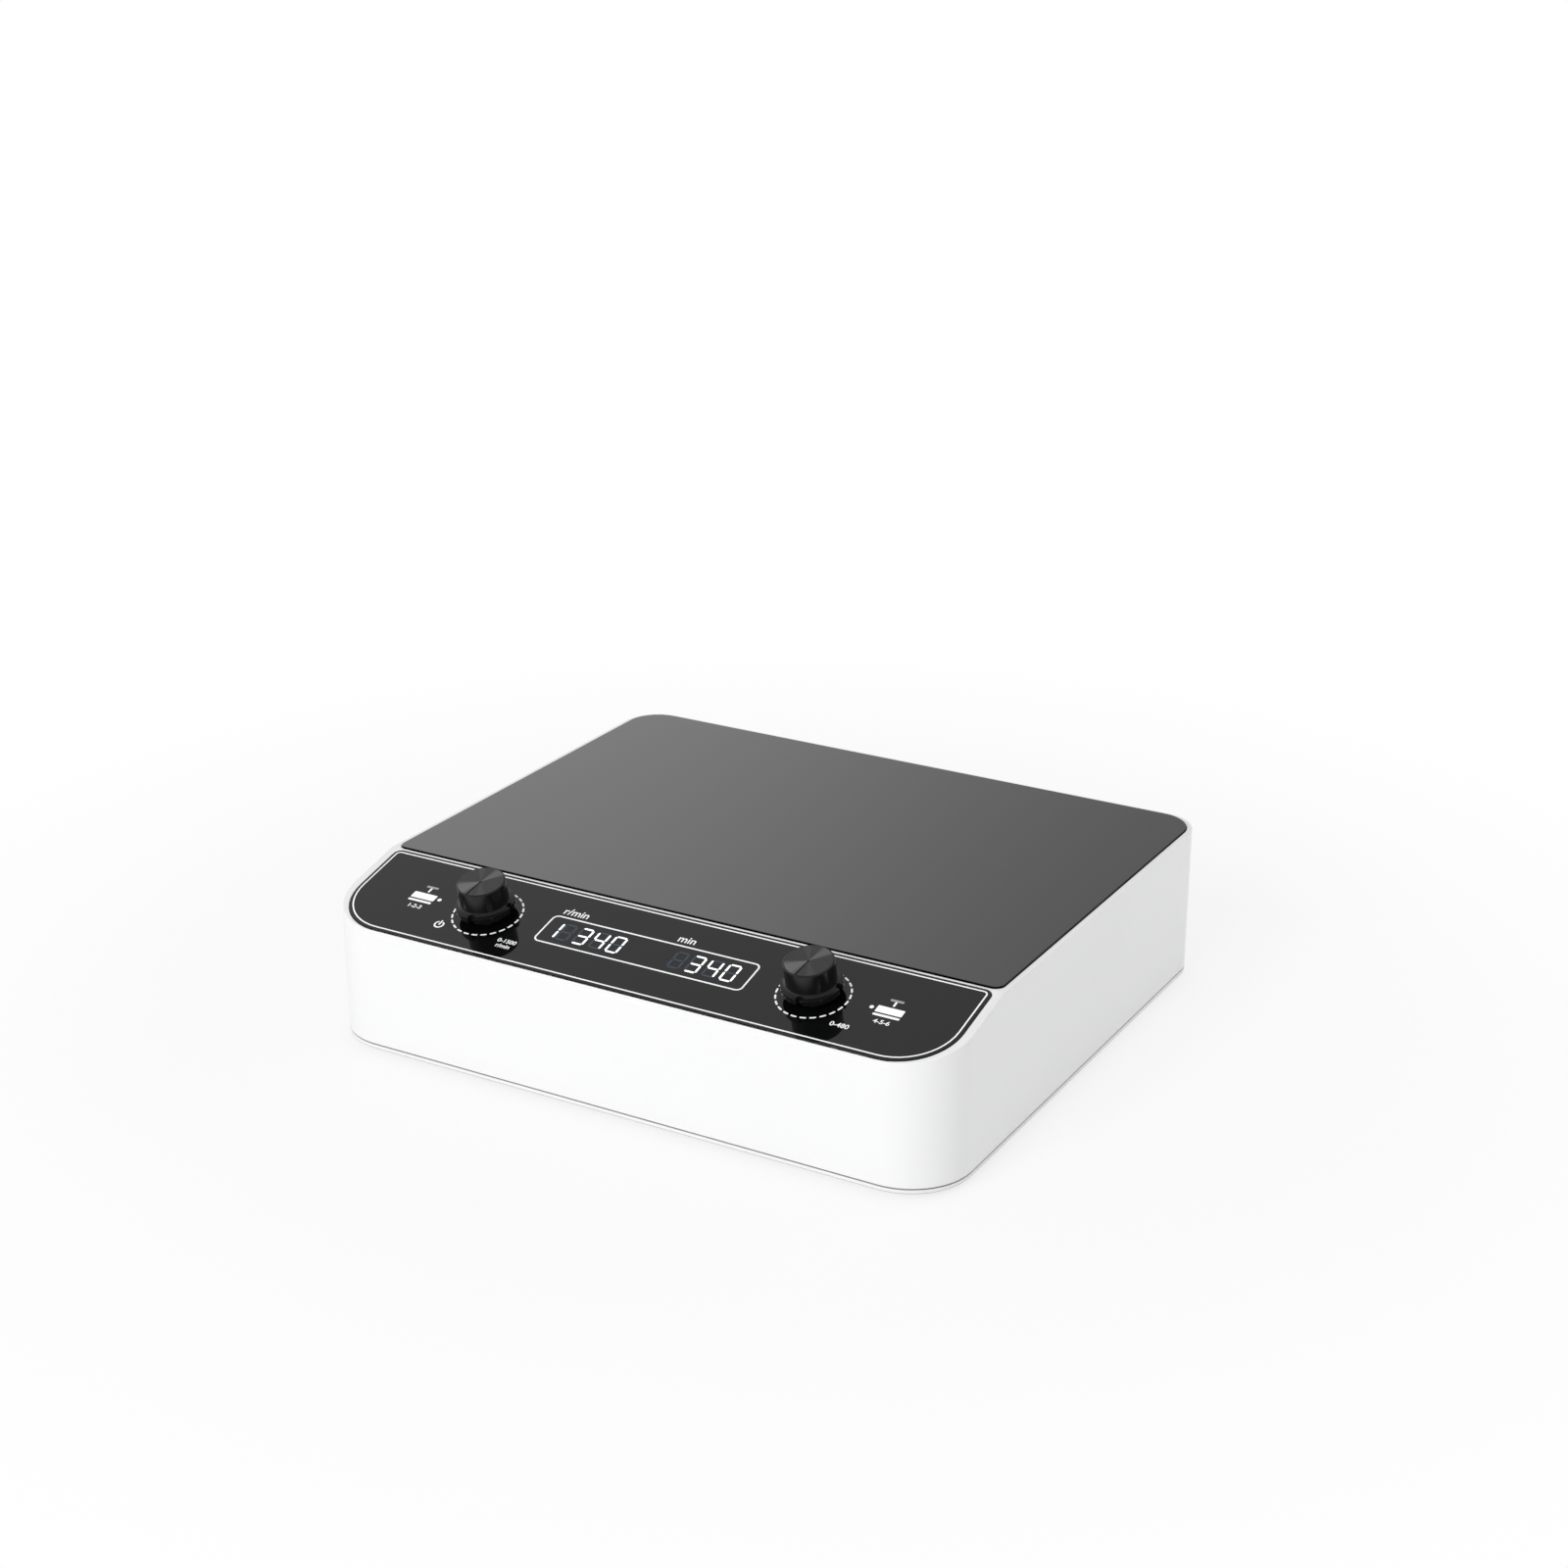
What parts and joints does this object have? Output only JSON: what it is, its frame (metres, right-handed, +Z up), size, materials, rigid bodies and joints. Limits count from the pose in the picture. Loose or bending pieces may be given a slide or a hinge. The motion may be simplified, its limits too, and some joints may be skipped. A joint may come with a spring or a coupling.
{
  "type": "multi-position magnetic stirrer",
  "caption": "Low box-shaped laboratory magnetic stirrer with a black glass work plate, a sloped control panel with display and knobs, and belt-driven magnet rotors inside.",
  "frame": {"origin": "centre of the footprint, on the bench under the feet", "axes": "+X to the operator's right along the width, +Y to the back, +Z up; the control panel faces -Y"},
  "size_m": [0.33, 0.288, 0.0926],
  "materials": {
    "white_plastic": "satin moulded white",
    "white_paint": "white powder coat",
    "foot_rubber": "matte",
    "screw_steel": "zinc plated",
    "black_glass": "polished black glass",
    "foam_tape": "foam",
    "display_face": "dark display face",
    "board_laminate": "solder mask",
    "knob_plastic": "fine satin black",
    "spun_cap": "spun, dark anodised",
    "pot_metal": "nickel",
    "deck_steel": "zinc plated sheet",
    "motor_steel": "black",
    "shaft_steel": "ground",
    "pulley_plastic": "natural acetal",
    "magnet_metal": "nickel plated",
    "bearing_steel": "ground",
    "belt_rubber": "matte",
    "inlet_plastic": "moulded",
    "lead_black": "sheath",
    "lead_red": "sheath"
  },
  "bodies": {
    "body": {"housing": "white_plastic", "base_plate": "white_paint", "rubber_feet": "foot_rubber", "foot_screws": "screw_steel", "base_screws": "screw_steel", "board_screws": "screw_steel", "deck_screws": "screw_steel", "motor_screws": "screw_steel", "spindle_nuts": "screw_steel", "spindle_clips": "screw_steel", "inlet_nut": "screw_steel", "glass_plate": "black_glass", "control_panel": "black_glass", "plate_tape": "foam_tape", "panel_tape": "foam_tape", "display_module": "display_face", "control_board": "board_laminate", "speed_pot": "pot_metal", "speed_pot_nut": "pot_metal", "timer_pot": "pot_metal", "timer_pot_nut": "pot_metal", "deck_plate": "deck_steel", "deck_standoffs": "deck_steel", "motor_can": "motor_steel", "spindles": "shaft_steel", "motor_front_belt": "belt_rubber", "motor_back_belt": "belt_rubber", "front_left_belt": "belt_rubber", "front_right_belt": "belt_rubber", "back_left_belt": "belt_rubber", "back_right_belt": "belt_rubber", "power_inlet": "inlet_plastic", "power_lead": "lead_black", "motor_lead": "lead_red"},
    "speed_knob_body": {"speed_knob": "knob_plastic", "speed_knob_cap": "spun_cap", "speed_pot_shaft": "pot_metal"},
    "timer_knob_body": {"timer_knob": "knob_plastic", "timer_knob_cap": "spun_cap", "timer_pot_shaft": "pot_metal"},
    "motor_rotor": {"motor_shaft": "shaft_steel", "motor_pulley": "pulley_plastic"},
    "front_left_stirrer": {"front_left_rotor": "pulley_plastic", "front_left_magnets": "magnet_metal", "front_left_bearings": "bearing_steel"},
    "front_middle_stirrer": {"front_middle_rotor": "pulley_plastic", "front_middle_magnets": "magnet_metal", "front_middle_bearings": "bearing_steel"},
    "front_right_stirrer": {"front_right_rotor": "pulley_plastic", "front_right_magnets": "magnet_metal", "front_right_bearings": "bearing_steel"},
    "back_left_stirrer": {"back_left_rotor": "pulley_plastic", "back_left_magnets": "magnet_metal", "back_left_bearings": "bearing_steel"},
    "back_middle_stirrer": {"back_middle_rotor": "pulley_plastic", "back_middle_magnets": "magnet_metal", "back_middle_bearings": "bearing_steel"},
    "back_right_stirrer": {"back_right_rotor": "pulley_plastic", "back_right_magnets": "magnet_metal", "back_right_bearings": "bearing_steel"}
  },
  "joints": [
    {"name": "speed_knob_turn", "type": "hinge", "parent": "body", "child": "speed_knob_body", "pos_m": [-0.087, -0.11463, 0.07189], "axis": [0, 0.2419, -0.9703], "range_deg": [-159, 141]},
    {"name": "timer_knob_turn", "type": "hinge", "parent": "body", "child": "timer_knob_body", "pos_m": [0.087, -0.11463, 0.07189], "axis": [0, 0.2419, -0.9703], "range_deg": [-159, 141]},
    {"name": "motor_spin", "type": "hinge", "parent": "body", "child": "motor_rotor", "pos_m": [0, 0.0285, 0.04], "axis": [0, 0, 1], "continuous": true},
    {"name": "front_left_spin", "type": "hinge", "parent": "body", "child": "front_left_stirrer", "pos_m": [-0.103, -0.023, 0.04], "axis": [0, 0, 1], "continuous": true},
    {"name": "front_middle_spin", "type": "hinge", "parent": "body", "child": "front_middle_stirrer", "pos_m": [0, -0.023, 0.04], "axis": [0, 0, 1], "continuous": true},
    {"name": "front_right_spin", "type": "hinge", "parent": "body", "child": "front_right_stirrer", "pos_m": [0.103, -0.023, 0.04], "axis": [0, 0, 1], "continuous": true},
    {"name": "back_left_spin", "type": "hinge", "parent": "body", "child": "back_left_stirrer", "pos_m": [-0.103, 0.08, 0.04], "axis": [0, 0, 1], "continuous": true},
    {"name": "back_middle_spin", "type": "hinge", "parent": "body", "child": "back_middle_stirrer", "pos_m": [0, 0.08, 0.04], "axis": [0, 0, 1], "continuous": true},
    {"name": "back_right_spin", "type": "hinge", "parent": "body", "child": "back_right_stirrer", "pos_m": [0.103, 0.08, 0.04], "axis": [0, 0, 1], "continuous": true}
  ],
  "couplings": [
    {"joint": "front_left_spin", "follows": "motor_spin", "ratio": 1},
    {"joint": "front_middle_spin", "follows": "motor_spin", "ratio": 1},
    {"joint": "front_right_spin", "follows": "motor_spin", "ratio": 1},
    {"joint": "back_left_spin", "follows": "motor_spin", "ratio": 1},
    {"joint": "back_middle_spin", "follows": "motor_spin", "ratio": 1},
    {"joint": "back_right_spin", "follows": "motor_spin", "ratio": 1}
  ]
}
